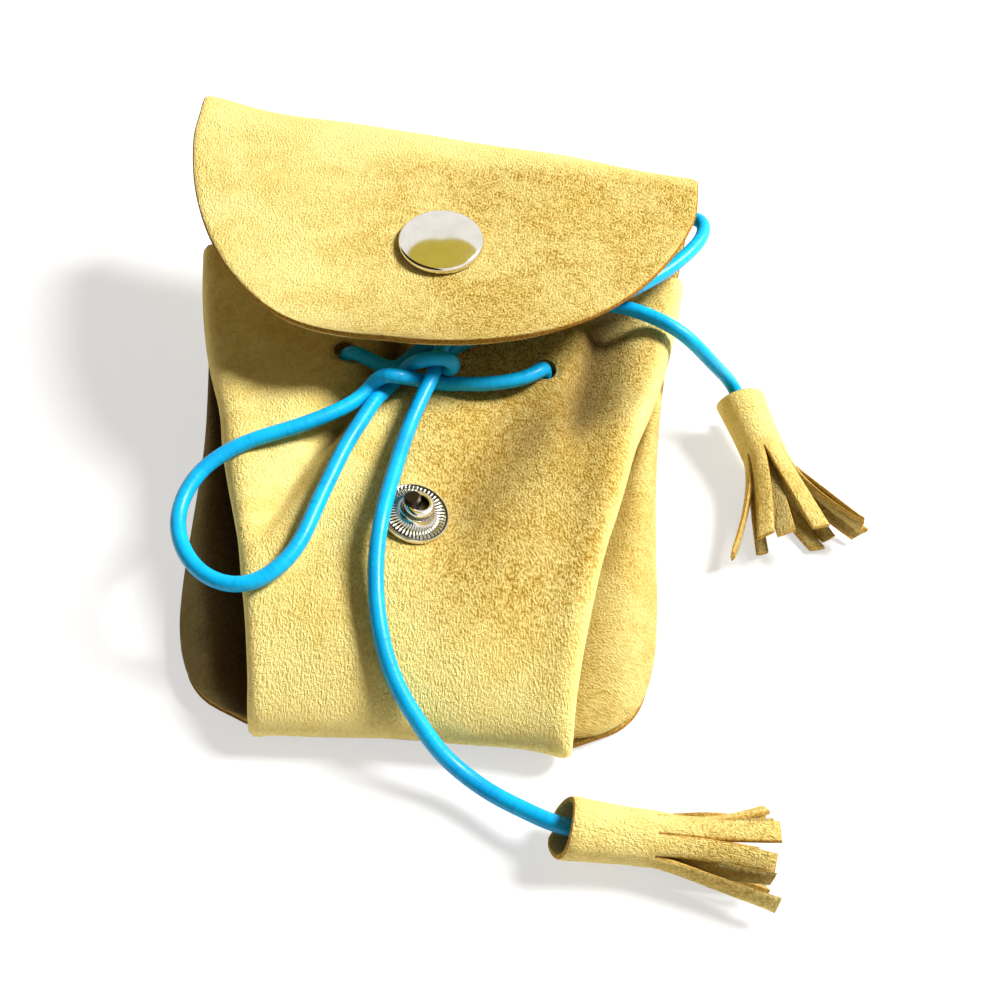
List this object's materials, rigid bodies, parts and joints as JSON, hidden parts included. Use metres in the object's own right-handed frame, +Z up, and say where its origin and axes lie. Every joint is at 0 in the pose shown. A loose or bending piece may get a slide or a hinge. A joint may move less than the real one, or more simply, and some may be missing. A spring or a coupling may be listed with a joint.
{
  "type": "suede drawstring pouch",
  "caption": "Small soft leather pouch with a round flap and press stud, side pleats, a cord through punched holes tied in a bow, and fringed tassels on the cord's ends.",
  "frame": {"origin": "on the surface the pouch lies on, under the middle of the pouch without its cord and tassels", "axes": "+Z up from the back panel, +Y from the pouch's bottom to the fold of the flap, +X to the right seen from the front"},
  "size_m": [0.114, 0.1284, 0.0353],
  "materials": {
    "suede": "sand coloured suede with a short nap, matt",
    "leather_cord": "bright blue dyed round leather, glossy",
    "nickel": "polished nickel plate",
    "spring_steel": "drawn spring wire"
  },
  "bodies": {
    "root": {"front_panel": "suede", "back_panel_with_flap": "suede", "snap_stud": "nickel", "stud_rivet": "nickel", "snap_cap": "nickel", "snap_socket": "nickel", "snap_spring": "spring_steel", "drawstring_neck": "leather_cord", "bow_loop_left": "leather_cord", "bow_loop_right": "leather_cord", "drawstring_end_left": "leather_cord", "drawstring_end_right": "leather_cord", "bow_knot": "leather_cord", "tassel_left": "suede", "tassel_right": "suede"}
  },
  "joints": []
}
